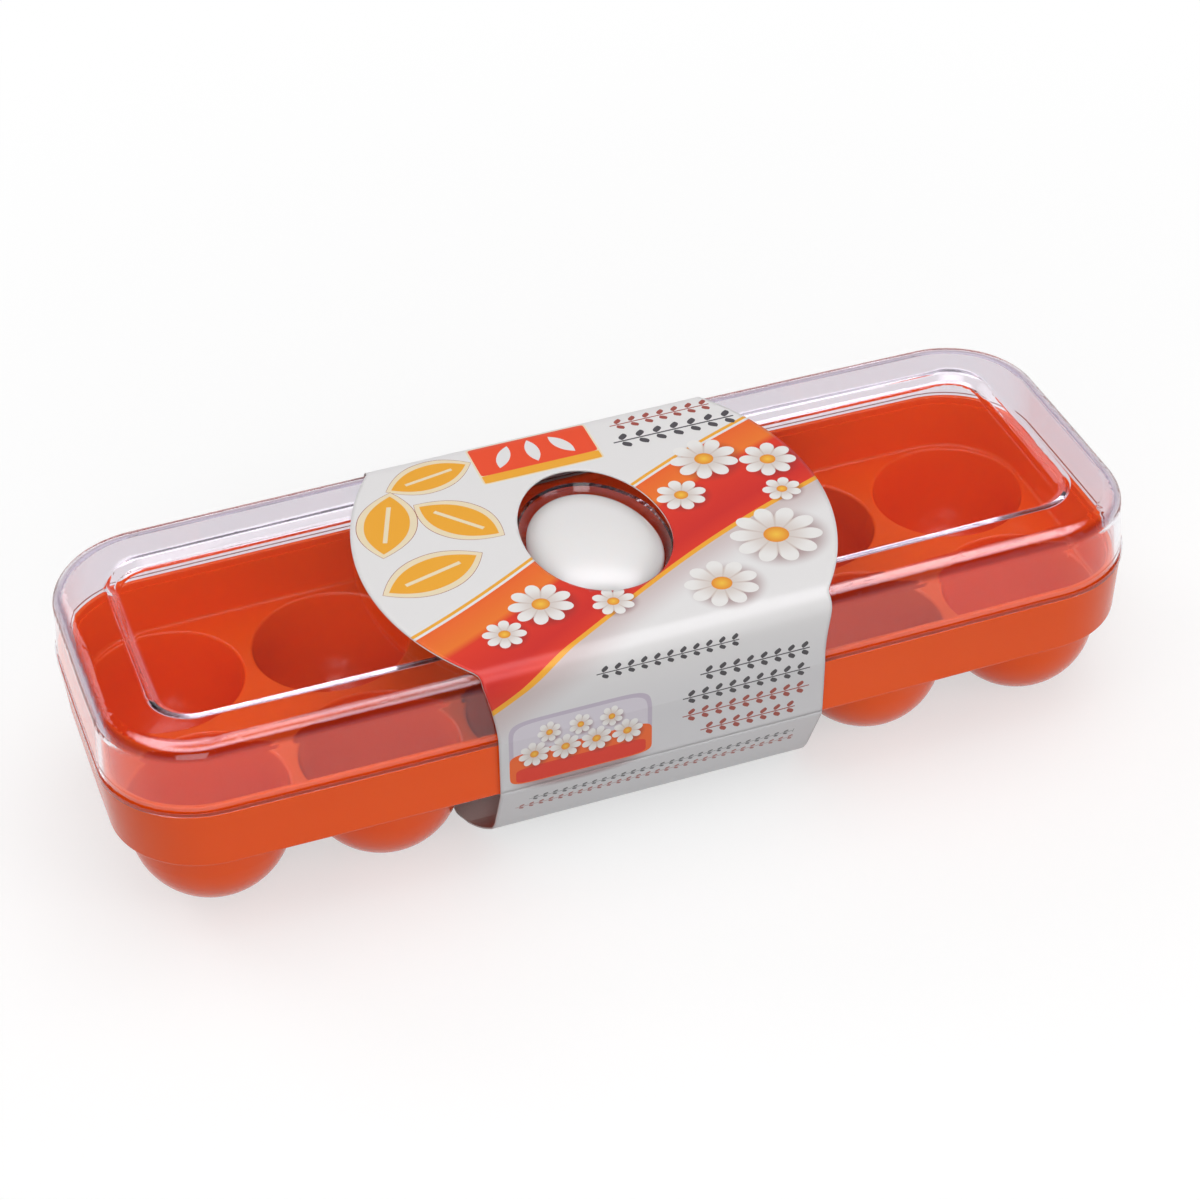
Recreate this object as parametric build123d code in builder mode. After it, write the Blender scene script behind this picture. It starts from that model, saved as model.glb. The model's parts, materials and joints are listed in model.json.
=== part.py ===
"""Egg keeper for twelve eggs: moulded tray, clear flip lid with an egg medallion, card sleeve.

Axes: X along the length, +Y to the hinge side, +Z up. The origin is in the middle of the
face that the keeper rests on, the underside of the card sleeve's bottom panel.
"""

import os
from math import acos, asin, atan2, cos, degrees, hypot, radians, sin, sqrt, tan

from build123d import *

# ------------------------------------------------------------------ driving dimensions, mm
# Rim outline, shared by tray and lid
end_margin = 4.7  # from the end cups' mouths out to the rim, along X
side_margin = 5.6  # from the cups' mouths out to the rim, along Y
side_bow = 1.3  # how far the middle of each long side stands out
end_bow = 0.5  # how far the middle of each end stands out
corner_radius = 32.0

# Tray
tray_height = 53.0  # from the cups' feet to the rim
band_height = 21.0  # the flat outer wall, from its lower edge up to the rim
band_draft = 1.3  # how far the band leans in at its lower edge
band_wall = 2.2
band_edge_round = 0.8
skirt_drop = 1.5  # the band's lower edge hangs this far below the deck
deck_thickness = 2.0
deck_round = 1.2  # radius between deck and inner wall
inner_wall_step = 0.6  # ledge inside, below the lip
inner_draft = 0.4
ledge_drop = 0.5  # from the rim down to the ledge
lip_height = 2.0  # inner lip that the lid fits over
lip_thickness = 1.5
lip_round = 0.5

# Egg cups
cups_along = 6
cups_across = 2
cup_bowl_radius = 25.4  # outside, of the round bottom
cup_flare = 1.4  # how much wider a cup is at the deck
cup_gap = 1.0  # between neighbouring cups, at the deck
cup_wall = 1.6
cup_floor = 1.4
cup_foot_radius = 5.0  # small flat under each cup
cup_mouth_round = 1.0

# Lid
lid_height = 24.0  # from the rim to the top of the border
lid_wall = 2.2
lid_draft = 1.5
lid_round = 6.0
lid_fit = 0.3  # between the lid and the tray's lip
bead_height = 1.6
bead_proud = 0.4
recess_inset = 18.5  # from the rim outline to the stacking recess
recess_slope = 3.0  # width of the recess's sloping side
recess_depth = 3.0
recess_top_round = 3.0  # outside, where the border turns down into the recess
recess_foot_round = 2.0  # outside, where the slope meets the recessed panel

# Egg medallion and the well that holds it
egg_half_width = 21.0
egg_front_length = 26.0  # from the widest line to the blunt end
egg_back_length = 30.5  # from the widest line to the narrow end
egg_widest_y = -2.0
egg_rise = 6.0
egg_edge = 0.6  # straight edge under the dome
egg_fit = 0.25
well_depth = 4.2  # below the recess
well_slope = 2.2

# Hinge
hinge_spacing = 90.0  # between the two hinges' middles
knuckle_radius = 2.4
knuckle_width = 7.0
ear_thickness = 3.0
ear_side_gap = 0.3
hinge_wall_gap = 0.3  # between an ear and the lid's bead
pin_radius = 1.3
pin_fit = 0.08
snap_slot_width = 2.1
ear_drop = 9.0  # how far an ear's web runs down the band
arm_rise = 9.0  # how far a knuckle's arm runs up the lid
stop_radius = 3.9  # reach of the heel that stops the lid
stop_angle = -50.1  # where the heel points with the lid shut, degrees up from +Y
ear_foot_inset = 0.6  # how far inside the rim's reach an ear's web ends

# Card sleeve
card_thickness = 0.5
card_gap = 0.3
card_front_half_width = 53.0
card_front_top_half_width = 56.0
card_middle_half_width = 75.5
card_back_half_width = 58.0
card_waist_half_width = 52.3  # where the front panel turns under
card_waist_y = -43.0
card_flare_half_width = 58.6  # where the bottom panel is widest
card_flare_y = -27.0
card_corner_drop = 20.0  # height over which the front panel narrows
window_half_width = 23.2
window_front_length = 31.0
window_back_length = 35.5
window_widest_y = -2.7
front_fold_radius = 7.0
back_fold_radius = 6.3
edge_fold_radius = 2.0
crease_gap_up = 1.3  # open strip at the crease, above and below the hinge axis
crease_gap_down = 4.2
seam_gap = 0.5  # between the front panel's lower end and the bottom panel
card_slack = 0.1  # looseness over the bead, the band and the hinge
back_lean = 0.36  # how fast the back panel leans out towards the hinge
card_widest_y = -3.0
card_corner_start = 3.0  # below the card's top, where the front panel starts to narrow
card_corner_lean = 0.5
card_margin = 5.0  # how far the trimming shapes reach past the card

# ------------------------------------------------------------------ derived places
cup_radius = cup_bowl_radius + cup_flare
cup_pitch = 2 * cup_radius + cup_gap
rim_length = cup_pitch * (cups_along - 1) + 2 * (cup_radius + end_margin)
rim_width = cup_pitch * (cups_across - 1) + 2 * (cup_radius + side_margin)
feet_z = card_thickness + card_gap
rim_z = feet_z + tray_height
band_z = rim_z - band_height
deck_z = band_z + skirt_drop + deck_thickness
cup_centre_z = feet_z + sqrt(cup_bowl_radius**2 - cup_foot_radius**2)
cup_floor_z = feet_z + cup_floor
cup_row_y = cup_pitch * (cups_across - 1) / 2

lid_top_z = rim_z + lid_height
recess_z = lid_top_z - recess_depth
well_z = recess_z - well_depth
recess_turn = atan2(recess_depth, recess_slope)
recess_shift = lid_wall * tan(recess_turn / 2)  # keeps the slope as thick as the panel
well_turn = atan2(well_depth, well_slope)
well_shift = lid_wall * tan(well_turn / 2)
lip_inset = lid_wall + lid_fit
lip_lean = lid_draft * lip_height / lid_height
inner_top_inset = lip_inset + lip_lean + lip_thickness

side_y = rim_width / 2 + side_bow  # the rim's furthest reach in Y
axis_y = side_y + bead_proud + hinge_wall_gap + knuckle_radius
axis_z = rim_z
pin_length = knuckle_width + 2 * (ear_side_gap + ear_thickness)
ear_offset = knuckle_width / 2 + ear_side_gap

card_top_z = lid_top_z + card_gap
card_bottom_z = card_thickness
card_back_y = axis_y + knuckle_radius + card_gap + card_slack
card_front_y = -(side_y + bead_proud + card_gap + card_slack)
wrap_radius = cup_bowl_radius + card_gap
card_reach = card_middle_half_width + card_margin


# ------------------------------------------------------------------ shared outlines
def rim_outline(height, inset):
    """Rounded outline with bowed sides at a height, pulled in from the rim all round."""
    half_x = rim_length / 2 - inset
    half_y = rim_width / 2 - inset
    with BuildSketch(Plane.XY.offset(height)) as sketch:
        with BuildLine():
            ThreePointArc((-half_x, -half_y), (0, -half_y - side_bow), (half_x, -half_y))
            ThreePointArc((half_x, -half_y), (half_x + end_bow, 0), (half_x, half_y))
            ThreePointArc((half_x, half_y), (0, half_y + side_bow), (-half_x, half_y))
            ThreePointArc((-half_x, half_y), (-half_x - end_bow, 0), (-half_x, -half_y))
        make_face()
        fillet(sketch.vertices(), corner_radius - inset)
    return sketch.sketch


def egg_outline(height, half_width, front_length, back_length, widest_y):
    """Egg shape at a height: two half ellipses that meet at the widest line."""
    with BuildSketch(Plane.XY.offset(height)) as sketch:
        with BuildLine():
            EllipticalCenterArc((0, widest_y), half_width, back_length, 0, arc_size=180)
            EllipticalCenterArc((0, widest_y), half_width, front_length, 180, arc_size=180)
        make_face()
    return sketch.sketch


def well_outline(height, margin):
    """The medallion's outline, grown by a margin."""
    return egg_outline(
        height,
        egg_half_width + margin,
        egg_front_length + margin,
        egg_back_length + margin,
        egg_widest_y,
    )


# ------------------------------------------------------------------ egg cup, outside and inside
def touch_down(radius, out, up):
    """Angle below level where a circle is touched by a line from a point beside it."""
    return degrees(acos(radius / hypot(out, up)) - atan2(up, out))


neck_z = deck_z - deck_thickness / 2
shell_touch = touch_down(cup_bowl_radius, cup_radius, neck_z - cup_centre_z)
shell_foot = degrees(acos(cup_foot_radius / cup_bowl_radius))
with BuildPart() as cup_shell:
    with BuildSketch(Plane.XZ):
        with BuildLine():
            shell_bowl = CenterArc(
                (0, cup_centre_z), cup_bowl_radius, -shell_foot, shell_foot - shell_touch
            )
            Polyline(
                shell_bowl @ 1,
                (cup_radius, neck_z),
                (0, neck_z),
                (0, feet_z),
                shell_bowl @ 0,
            )
        make_face()
    revolve(axis=Axis.Z)

hollow_radius = cup_bowl_radius - cup_wall
hollow_neck_radius = cup_radius - cup_wall
hollow_neck_z = deck_z - cup_mouth_round
hollow_touch = touch_down(hollow_radius, hollow_neck_radius, hollow_neck_z - cup_centre_z)
hollow_floor = degrees(asin((cup_centre_z - cup_floor_z) / hollow_radius))
mouth_radius = hollow_neck_radius + cup_mouth_round
with BuildPart() as cup_hollow:
    with BuildSketch(Plane.XZ):
        with BuildLine():
            hollow_bowl = CenterArc(
                (0, cup_centre_z), hollow_radius, -hollow_floor, hollow_floor - hollow_touch
            )
            Line(hollow_bowl @ 1, (hollow_neck_radius, hollow_neck_z))
            hollow_mouth = CenterArc((mouth_radius, hollow_neck_z), cup_mouth_round, 180, -90)
            Polyline(
                hollow_mouth @ 1,
                (mouth_radius, deck_z + deck_round),
                (0, deck_z + deck_round),
                (0, cup_floor_z),
                hollow_bowl @ 0,
            )
        make_face()
    revolve(axis=Axis.Z)

# ------------------------------------------------------------------ tray
step_z = rim_z - ledge_drop
with BuildPart() as tray_cavity:
    loft(
        [
            rim_outline(deck_z, inner_top_inset + inner_wall_step + inner_draft),
            rim_outline(step_z, inner_top_inset + inner_wall_step),
        ],
        ruled=True,
    )
    fillet(tray_cavity.faces().sort_by(Axis.Z)[0].edges(), deck_round)
    extrude(rim_outline(step_z, inner_top_inset), amount=lip_height + ledge_drop + lip_round)

with BuildPart() as ear_blank:
    with BuildSketch(Plane.YZ):
        with Locations((axis_y, axis_z)):
            Circle(knuckle_radius)
        with BuildLine():
            Polyline(
                (axis_y + knuckle_radius, axis_z),
                (side_y - ear_foot_inset, axis_z - ear_drop),
                (side_y - band_wall, axis_z - ear_drop),
                (side_y - band_wall, axis_z - lid_fit),
                (axis_y, axis_z - lid_fit),
                (axis_y, axis_z),
                close=True,
            )
        make_face()
        with Locations((axis_y, axis_z)):
            Circle(pin_radius + pin_fit, mode=Mode.SUBTRACT)
        with Locations((axis_y, axis_z + knuckle_radius)):
            Rectangle(snap_slot_width, 2 * knuckle_radius, mode=Mode.SUBTRACT)
    extrude(amount=ear_thickness)

with BuildPart() as base_tray:
    loft(
        [rim_outline(band_z, band_draft), rim_outline(rim_z, 0)],
        ruled=True,
    )
    fillet(base_tray.faces().sort_by(Axis.Z)[0].edges(), band_edge_round)
    loft(
        [rim_outline(rim_z, lip_inset), rim_outline(rim_z + lip_height, lip_inset + lip_lean)],
        ruled=True,
    )
    add(tray_cavity.part, mode=Mode.SUBTRACT)
    fillet(base_tray.faces().sort_by(Axis.Z)[-1].edges(), lip_round)
    extrude(rim_outline(band_z, band_draft + band_wall), amount=skirt_drop, mode=Mode.SUBTRACT)
    with GridLocations(cup_pitch, cup_pitch, cups_along, cups_across):
        add(cup_shell.part)
    with GridLocations(cup_pitch, cup_pitch, cups_along, cups_across):
        add(cup_hollow.part, mode=Mode.SUBTRACT)
    for hinge_x in (-hinge_spacing / 2, hinge_spacing / 2):
        with Locations(
            (hinge_x + ear_offset, 0, 0), (hinge_x - ear_offset - ear_thickness, 0, 0)
        ):
            add(ear_blank.part)

base_tray.part.label = "base_tray"

# ------------------------------------------------------------------ lid
with BuildPart() as recess_form:
    loft(
        [rim_outline(recess_z, recess_inset + recess_slope), rim_outline(lid_top_z, recess_inset)],
        ruled=True,
    )
    fillet(recess_form.faces().sort_by(Axis.Z)[0].edges(), recess_foot_round)

# Its underside, one wall away from the panel and the slope
with BuildPart() as recess_under:
    loft(
        [
            rim_outline(recess_z - lid_wall, recess_inset + recess_slope - recess_shift),
            rim_outline(lid_top_z - lid_wall, recess_inset - recess_shift),
        ],
        ruled=True,
    )
    fillet(recess_under.faces().sort_by(Axis.Z)[0].edges(), recess_foot_round + lid_wall)

with BuildPart() as well_form:
    loft(
        [well_outline(well_z, egg_fit), well_outline(recess_z, egg_fit + well_slope)],
        ruled=True,
    )

with BuildPart() as lid_cavity:
    loft(
        [rim_outline(rim_z, lid_wall), rim_outline(lid_top_z - lid_wall, lid_wall + lid_draft)],
        ruled=True,
    )
    fillet(lid_cavity.faces().sort_by(Axis.Z)[-1].edges(), lid_round - lid_wall)
    add(recess_under.part, mode=Mode.SUBTRACT)
    cavity_top = lid_cavity.faces().sort_by(Axis.Z)[-1]
    fillet(cavity_top.inner_wires()[0].edges(), recess_top_round - lid_wall)
    loft(
        [
            well_outline(well_z - lid_wall, egg_fit + well_shift),
            well_outline(recess_z - lid_wall, egg_fit + well_shift + well_slope),
        ],
        ruled=True,
        mode=Mode.SUBTRACT,
    )

stop_reach = degrees(acos(knuckle_radius / stop_radius))


def around_axis(radius, angle):
    """Point at a radius from the hinge axis, at an angle up from +Y."""
    return (axis_y + radius * cos(radians(angle)), axis_z + radius * sin(radians(angle)))


with BuildPart() as knuckle:
    with BuildSketch(Plane.YZ.offset(-knuckle_width / 2)):
        with Locations((axis_y, axis_z)):
            Circle(knuckle_radius)
        with BuildLine():
            Polyline(
                (axis_y + knuckle_radius, axis_z),
                (side_y - lid_wall / 2, axis_z + arm_rise),
                (side_y - lid_wall, axis_z + arm_rise),
                (side_y - lid_wall, axis_z + lid_fit),
                (axis_y, axis_z),
                close=True,
            )
        make_face()
        with BuildLine():
            Polyline(
                (axis_y, axis_z),
                around_axis(knuckle_radius, stop_angle - stop_reach),
                around_axis(stop_radius, stop_angle),
                around_axis(knuckle_radius, stop_angle + stop_reach),
                close=True,
            )
        make_face()
    extrude(amount=knuckle_width)
    with BuildSketch(Plane.YZ.offset(-pin_length / 2)):
        with Locations((axis_y, axis_z)):
            Circle(pin_radius)
    extrude(amount=pin_length)

with BuildPart() as lid:
    loft(
        [rim_outline(rim_z, 0), rim_outline(lid_top_z, lid_draft)],
        ruled=True,
    )
    fillet(lid.faces().sort_by(Axis.Z)[-1].edges(), lid_round)
    extrude(rim_outline(rim_z, -bead_proud), amount=bead_height)
    add(recess_form.part, mode=Mode.SUBTRACT)
    border = lid.faces().sort_by(Axis.Z)[-1]
    fillet(border.inner_wires()[0].edges(), recess_top_round)
    add(lid_cavity.part, mode=Mode.SUBTRACT)
    add(well_form.part, mode=Mode.SUBTRACT)
    with Locations((-hinge_spacing / 2, 0, 0), (hinge_spacing / 2, 0, 0)):
        add(knuckle.part)

lid.part.label = "lid"

# ------------------------------------------------------------------ egg medallion
# An egg of revolution about Y, flattened in Z, on a short straight edge
with BuildPart() as egg_body:
    with BuildSketch(Plane.XY):
        with BuildLine():
            EllipticalCenterArc((0, egg_widest_y), egg_half_width, egg_back_length, 0, arc_size=90)
            EllipticalCenterArc((0, egg_widest_y), egg_half_width, egg_front_length, 270, arc_size=90)
            Line((0, egg_widest_y - egg_front_length), (0, egg_widest_y + egg_back_length))
        make_face()
    revolve(axis=Axis.Y)
    split(bisect_by=Plane.XY, keep=Keep.TOP)
egg_dome = scale(egg_body.part, by=(1, 1, (egg_rise - egg_edge) / egg_half_width))

with BuildPart() as egg_medallion:
    extrude(well_outline(well_z, 0), amount=egg_edge)
    with Locations((0, 0, well_z + egg_edge)):
        add(egg_dome)

egg_medallion.part.label = "egg_medallion"

# ------------------------------------------------------------------ card sleeve
band_fold_y = side_y - band_draft + card_gap + card_slack
band_fold_z = band_z + band_edge_round / 2

# The card leaves the cups on a line that just touches them and runs to the band's lower edge
fold_rise = band_fold_z - cup_centre_z
fold_run = band_fold_y - cup_row_y
bottom_angle = degrees(asin((cup_centre_z - card_bottom_z) / wrap_radius))
touch_angle = touch_down(wrap_radius, fold_run, fold_rise)
touch_y = cup_row_y + wrap_radius * cos(radians(touch_angle))
touch_z = cup_centre_z - wrap_radius * sin(radians(touch_angle))
fold_slope = (band_fold_y - touch_y) / (band_fold_z - touch_z)
seam_z = band_fold_z - seam_gap
seam_y = -(band_fold_y - fold_slope * seam_gap)

back_foot_z = axis_z + crease_gap_up
back_lower_z = axis_z - crease_gap_down
back_top_y = card_back_y - back_lean * (card_top_z - back_foot_z)
front_top_y = card_front_y + lid_draft
corner_z = card_top_z - card_corner_start

with BuildPart() as sleeve_upper:
    with BuildSketch(Plane.YZ):
        with BuildLine():
            FilletPolyline(
                (card_back_y, back_foot_z),
                (back_top_y, card_top_z),
                (front_top_y, card_top_z),
                (card_front_y, rim_z + bead_height / 2),
                (-band_fold_y, band_fold_z),
                radius=[back_fold_radius, front_fold_radius, edge_fold_radius],
            )
            offset(amount=card_thickness, side=Side.RIGHT)
        make_face()
    extrude(amount=card_reach, both=True)
    # Side edges: bulging arcs over the top, narrow straight panels in front and behind
    fold_front_y = front_top_y + front_fold_radius / 2
    fold_back_y = back_top_y - back_fold_radius / 2
    with BuildSketch(Plane.XY):
        with BuildLine():
            Polyline(
                (-card_back_half_width, fold_back_y),
                (-card_back_half_width, card_back_y + card_margin),
                (card_back_half_width, card_back_y + card_margin),
                (card_back_half_width, fold_back_y),
            )
            ThreePointArc(
                (card_back_half_width, fold_back_y),
                (card_middle_half_width, card_widest_y),
                (card_front_top_half_width, fold_front_y),
            )
            Polyline(
                (card_front_top_half_width, fold_front_y),
                (card_front_top_half_width, card_front_y - card_margin),
                (-card_front_top_half_width, card_front_y - card_margin),
                (-card_front_top_half_width, fold_front_y),
            )
            ThreePointArc(
                (-card_front_top_half_width, fold_front_y),
                (-card_middle_half_width, card_widest_y),
                (-card_back_half_width, fold_back_y),
            )
        make_face()
    extrude(amount=card_top_z + card_margin, mode=Mode.INTERSECT)
    # The front panel narrows below the front fold
    with BuildSketch(Plane.XZ.offset(-fold_front_y)):
        for side in (-1, 1):
            with BuildLine():
                trim_curve = Spline(
                    (side * card_front_top_half_width, corner_z),
                    (side * card_front_half_width, corner_z - card_corner_drop),
                    tangents=[(-side * card_corner_lean, -1), (0, -1)],
                )
                Polyline(
                    trim_curve @ 1,
                    (side * card_front_half_width, 0),
                    (side * (card_front_top_half_width + card_margin), 0),
                    (side * (card_front_top_half_width + card_margin), corner_z),
                    trim_curve @ 0,
                )
            make_face()
    extrude(amount=side_y, mode=Mode.SUBTRACT)
    window = egg_outline(
        0, window_half_width, window_front_length, window_back_length, window_widest_y
    )
    extrude(window, amount=card_top_z + card_margin, mode=Mode.SUBTRACT)

sleeve_upper.part.label = "sleeve_upper"

with BuildPart() as sleeve_lower:
    with BuildSketch(Plane.YZ):
        with BuildLine():
            back_wrap = CenterArc(
                (cup_row_y, cup_centre_z),
                wrap_radius,
                -touch_angle,
                touch_angle - bottom_angle,
            )
            Polyline(
                (card_back_y, back_lower_z),
                (band_fold_y + card_slack, band_fold_z),
                back_wrap @ 0,
            )
            front_wrap = CenterArc(
                (-cup_row_y, cup_centre_z),
                wrap_radius,
                180 + bottom_angle,
                touch_angle - bottom_angle,
            )
            Line(back_wrap @ 1, front_wrap @ 0)
            Line(front_wrap @ 1, (seam_y, seam_z))
            offset(amount=card_thickness, side=Side.LEFT)
        make_face()
    extrude(amount=card_reach, both=True)
    with BuildSketch(Plane.XY.offset(-card_margin)):
        with BuildLine():
            Polyline(
                (-card_flare_half_width, card_flare_y),
                (-card_waist_half_width, card_waist_y),
                (-card_front_half_width, card_front_y),
                (card_front_half_width, card_front_y),
                (card_waist_half_width, card_waist_y),
                (card_flare_half_width, card_flare_y),
                (card_back_half_width, card_back_y + card_margin),
                (-card_back_half_width, card_back_y + card_margin),
                close=True,
            )
        make_face()
    extrude(amount=axis_z + card_margin, mode=Mode.INTERSECT)

sleeve_lower.part.label = "sleeve_lower"

# ------------------------------------------------------------------ export
os.makedirs("parts", exist_ok=True)
export_step(base_tray.part, "parts/base_tray.step")
export_step(lid.part, "parts/lid.step")
export_step(egg_medallion.part, "parts/egg_medallion.step")
export_step(sleeve_upper.part, "parts/sleeve_upper.step")
export_step(sleeve_lower.part, "parts/sleeve_lower.step")
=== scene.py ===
"""Looks for the egg keeper: clear lid, moulded tray, white medallion and printed card sleeve."""

import json
from math import acos, asin, atan2, ceil, cos, hypot, pi, radians, sin, tan

import bpy
from mathutils import Matrix, Vector

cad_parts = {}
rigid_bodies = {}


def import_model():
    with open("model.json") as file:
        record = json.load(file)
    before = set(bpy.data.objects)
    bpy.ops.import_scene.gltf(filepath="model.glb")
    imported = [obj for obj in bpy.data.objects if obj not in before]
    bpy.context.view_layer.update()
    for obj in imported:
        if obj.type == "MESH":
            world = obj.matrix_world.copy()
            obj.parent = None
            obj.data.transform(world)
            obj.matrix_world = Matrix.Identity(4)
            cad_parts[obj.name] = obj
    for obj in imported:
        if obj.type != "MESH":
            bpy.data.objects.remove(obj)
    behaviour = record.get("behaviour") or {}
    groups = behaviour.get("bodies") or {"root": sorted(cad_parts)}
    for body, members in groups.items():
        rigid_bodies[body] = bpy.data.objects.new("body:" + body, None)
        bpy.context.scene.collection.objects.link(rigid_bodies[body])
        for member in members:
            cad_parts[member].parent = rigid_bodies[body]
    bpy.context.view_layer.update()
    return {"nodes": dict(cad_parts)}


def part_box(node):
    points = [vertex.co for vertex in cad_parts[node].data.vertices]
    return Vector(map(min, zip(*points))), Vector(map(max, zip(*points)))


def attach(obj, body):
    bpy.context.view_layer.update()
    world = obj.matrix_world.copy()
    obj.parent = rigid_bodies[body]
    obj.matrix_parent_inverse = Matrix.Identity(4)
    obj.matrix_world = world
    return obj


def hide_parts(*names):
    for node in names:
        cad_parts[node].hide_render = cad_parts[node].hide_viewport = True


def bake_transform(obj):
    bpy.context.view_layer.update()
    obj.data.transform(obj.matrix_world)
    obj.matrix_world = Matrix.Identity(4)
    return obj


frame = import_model()
NODES = frame["nodes"]
MM = 0.001  # one millimetre, in metres


# ------------------------------------------------------------------ camera, lengths in mm
AZIMUTH = radians(-18.357)
ELEVATION = radians(37.607)
ROLL = radians(-2.305)
DISTANCE = 988.988
AIM_HEIGHT = 35.8
AIM_RIGHT = 0.843
AIM_UP = 11.125
FOCAL_SHARE = 3058.781 / 1200.0  # focal length as a share of the picture's width
SENSOR = 36.0
CLIP_START = 0.01  # metres


def make_camera():
    """The camera, placed by the fitted view of the keeper."""
    back = Vector(
        (sin(AZIMUTH) * cos(ELEVATION), -cos(AZIMUTH) * cos(ELEVATION), sin(ELEVATION))
    )
    right = Vector((cos(AZIMUTH), sin(AZIMUTH), 0.0))
    up = Vector((-sin(AZIMUTH) * sin(ELEVATION), cos(AZIMUTH) * sin(ELEVATION), cos(ELEVATION)))
    side = right * cos(ROLL) + up * sin(ROLL)
    top = up * cos(ROLL) - right * sin(ROLL)
    place = Vector((0, 0, AIM_HEIGHT)) + side * AIM_RIGHT + top * AIM_UP + back * DISTANCE
    data = bpy.data.cameras.new("camera")
    data.sensor_width = SENSOR
    data.lens = SENSOR * FOCAL_SHARE
    data.clip_start = CLIP_START
    camera = bpy.data.objects.new("camera", data)
    turn = Matrix((side, top, back)).transposed().to_4x4()
    camera.matrix_world = Matrix.Translation(place * MM) @ turn
    bpy.context.scene.collection.objects.link(camera)
    bpy.context.scene.camera = camera


# ------------------------------------------------------------------ node helpers
SEEN_DEPTH = 0.5  # between no bounce and one


def grey(value):
    return (value, value, value, 1.0)


class Nodes:
    """Short names for making shader nodes in a node tree."""

    def __init__(self, node_tree):
        self.nodes = node_tree.nodes
        self.links = node_tree.links
        self.nodes.clear()

    def put(self, value, socket):
        """Links a socket, or sets a plain value."""
        if isinstance(value, bpy.types.NodeSocket):
            self.links.new(value, socket)
        elif value is not None:
            socket.default_value = value

    def math(self, operation, a, b=None, c=None):
        node = self.nodes.new("ShaderNodeMath")
        node.operation = operation
        for value, socket in zip((a, b, c), node.inputs):
            self.put(value, socket)
        return node.outputs[0]

    def both(self, a, b):
        return self.math("MULTIPLY", a, b)

    def mix(self, factor, a, b):
        """Mixes two colours."""
        node = self.nodes.new("ShaderNodeMix")
        node.data_type = "RGBA"
        self.put(factor, node.inputs["Factor"])
        self.put(a, node.inputs[6])
        self.put(b, node.inputs[7])
        return node.outputs[2]

    def mix_shaders(self, factor, a, b):
        node = self.nodes.new("ShaderNodeMixShader")
        for value, socket in zip((factor, a, b), node.inputs):
            self.links.new(value, socket)
        return node.outputs[0]

    def ramp(self, factor, stops):
        """A colour ramp; a stop is (position, colour)."""
        node = self.nodes.new("ShaderNodeValToRGB")
        elements = node.color_ramp.elements
        while len(elements) < len(stops):
            elements.new(1.0)
        for element, (position, colour) in zip(elements, stops):
            element.position = position
            element.color = colour
        self.put(factor, node.inputs[0])
        return node.outputs[0]

    def fall(self, value, start, end, depth=1.0):
        """Goes smoothly from depth at start to nothing at end."""
        node = self.nodes.new("ShaderNodeMapRange")
        node.interpolation_type = "SMOOTHSTEP"
        self.links.new(value, node.inputs["Value"])
        for name, number in (
            ("From Min", start),
            ("From Max", end),
            ("To Min", depth),
            ("To Max", 0.0),
        ):
            node.inputs[name].default_value = number
        return node.outputs["Result"]

    def noise(self, vector, scale, detail=2.0, roughness=0.5):
        node = self.nodes.new("ShaderNodeTexNoise")
        self.put(vector, node.inputs["Vector"])
        node.inputs["Scale"].default_value = scale
        node.inputs["Detail"].default_value = detail
        node.inputs["Roughness"].default_value = roughness
        return node.outputs["Fac"]

    def coordinates(self, kind):
        return self.nodes.new("ShaderNodeTexCoord").outputs[kind]

    def apart(self, vector):
        """A vector's three numbers."""
        node = self.nodes.new("ShaderNodeSeparateXYZ")
        self.links.new(vector, node.inputs[0])
        return tuple(node.outputs)

    def length(self, vector):
        node = self.nodes.new("ShaderNodeVectorMath")
        node.operation = "LENGTH"
        self.links.new(vector, node.inputs[0])
        return node.outputs["Value"]

    def looking(self, rays, depths=("Diffuse Depth",)):
        """1 for a ray of one of these kinds that has met nothing of such depths, else 0."""
        path = self.nodes.new("ShaderNodeLightPath")
        value = path.outputs[rays[0]]
        for ray in rays[1:]:
            value = self.math("MAXIMUM", value, path.outputs[ray])
        for depth in depths:
            value = self.both(value, self.math("LESS_THAN", path.outputs[depth], SEEN_DEPTH))
        return value


class Finish(Nodes):
    """A material in the making."""

    def __init__(self, name):
        self.material = bpy.data.materials.new(name)
        self.material.use_nodes = True
        super().__init__(self.material.node_tree)
        self.out = self.nodes.new("ShaderNodeOutputMaterial")

    def objects(self):
        """Coordinates in metres that stay with the piece."""
        return self.coordinates("Object")

    def bump(self, height, strength, distance):
        node = self.nodes.new("ShaderNodeBump")
        node.inputs["Strength"].default_value = strength
        node.inputs["Distance"].default_value = distance
        self.put(height, node.inputs["Height"])
        return node.outputs[0]

    def principled(self, **inputs):
        """A Principled shader; names use _ for spaces."""
        node = self.nodes.new("ShaderNodeBsdfPrincipled")
        for name, value in inputs.items():
            self.put(value, node.inputs[name.replace("_", " ")])
        return node.outputs[0]

    def done(self, shader):
        self.links.new(shader, self.out.inputs["Surface"])
        return self.material


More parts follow.
